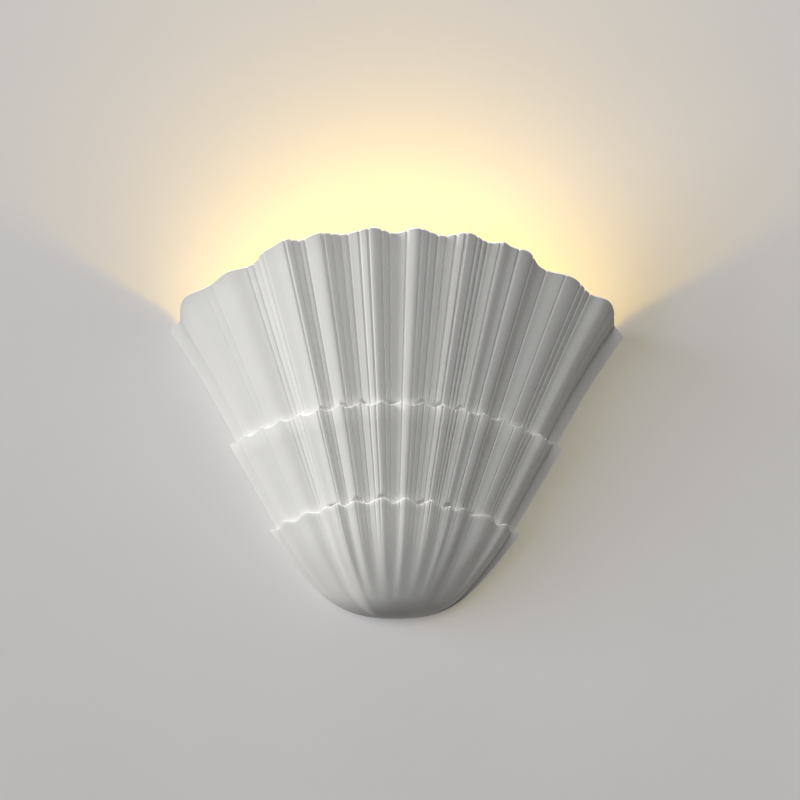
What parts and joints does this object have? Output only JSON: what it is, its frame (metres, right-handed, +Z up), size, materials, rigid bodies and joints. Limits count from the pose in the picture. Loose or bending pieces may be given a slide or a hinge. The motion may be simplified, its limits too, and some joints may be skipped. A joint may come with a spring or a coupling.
{
  "type": "wall sconce",
  "caption": "Up-lighting wall sconce with a white scallop-shell shade in fluted steps, hung on a wall plate that carries a screw-cap globe lamp.",
  "frame": {"origin": "on the wall, midway between the two wall screws of the plate", "axes": "+X to the right of someone facing the wall, -Y out into the room, +Z up"},
  "size_m": [0.2994, 0.1177, 0.2494],
  "materials": {
    "white_casting": "matte, fine cast surface",
    "white_steel": "satin white powder coat",
    "zinc_steel": "bright zinc plate",
    "brass": "plain turned brass",
    "grey_rubber": "matte",
    "holder_plastic": "fine matte moulding",
    "white_steatite": "unglazed",
    "block_plastic": "translucent white moulding",
    "brown_insulation": "smooth cable sheath",
    "blue_insulation": "smooth cable sheath",
    "green_yellow_insulation": "smooth cable sheath with two colours",
    "nickel_plate": "satin nickel",
    "black_insulator": "black glass",
    "solder": "dull solder",
    "lamp_plastic": "satin white moulding",
    "opal_globe": "opal, lit warm white",
    "board_aluminium": "white coated board",
    "led_phosphor": "phosphor, lit"
  },
  "bodies": {
    "wall_unit": {"wall_plate": "white_steel", "cable_grommet": "grey_rubber", "holder_bracket": "white_steel", "bracket_screws": "zinc_steel", "threaded_nipple": "zinc_steel", "nipple_washer": "zinc_steel", "nipple_nut": "zinc_steel", "lampholder_base": "holder_plastic", "lampholder_sleeve": "holder_plastic", "lampholder_core": "white_steatite", "lampholder_screw_shell": "brass", "lampholder_contact": "brass", "lampholder_terminals": "zinc_steel", "terminal_block": "block_plastic", "terminal_sleeves": "brass", "terminal_screws": "zinc_steel", "terminal_fixing_screw": "zinc_steel", "live_wire": "brown_insulation", "neutral_wire": "blue_insulation", "earth_wire": "green_yellow_insulation", "earth_lug": "brass", "earth_washer": "zinc_steel", "earth_screw": "zinc_steel"},
    "shade": {"shell_shade": "white_casting", "hanger_strap": "white_steel", "strap_inserts": "brass", "strap_screws": "zinc_steel"},
    "lamp_cap": {"bulb_cap": "nickel_plate", "bulb_insulator": "black_insulator", "bulb_tip_contact": "solder"},
    "lamp": {"bulb_housing": "lamp_plastic", "bulb_globe": "opal_globe", "bulb_led_board": "board_aluminium", "bulb_leds": "led_phosphor"}
  },
  "joints": [
    {"name": "shade_lift", "type": "slide", "parent": "wall_unit", "child": "shade", "axis": [0, 0, 1], "range_m": [0, 0.0105]},
    {"name": "bulb_travel", "type": "slide", "parent": "wall_unit", "child": "lamp_cap", "axis": [0, -0.1736, 0.9848], "range_m": [0, 0.00848]},
    {"name": "bulb_turn", "type": "hinge", "parent": "lamp_cap", "child": "lamp", "pos_m": [0, -0.024, -0.03], "axis": [0, -0.1736, 0.9848], "range_deg": [0, 1080]}
  ],
  "couplings": [
    {"joint": "bulb_travel", "follows": "bulb_turn", "m_per_rad": 0.00044917}
  ]
}
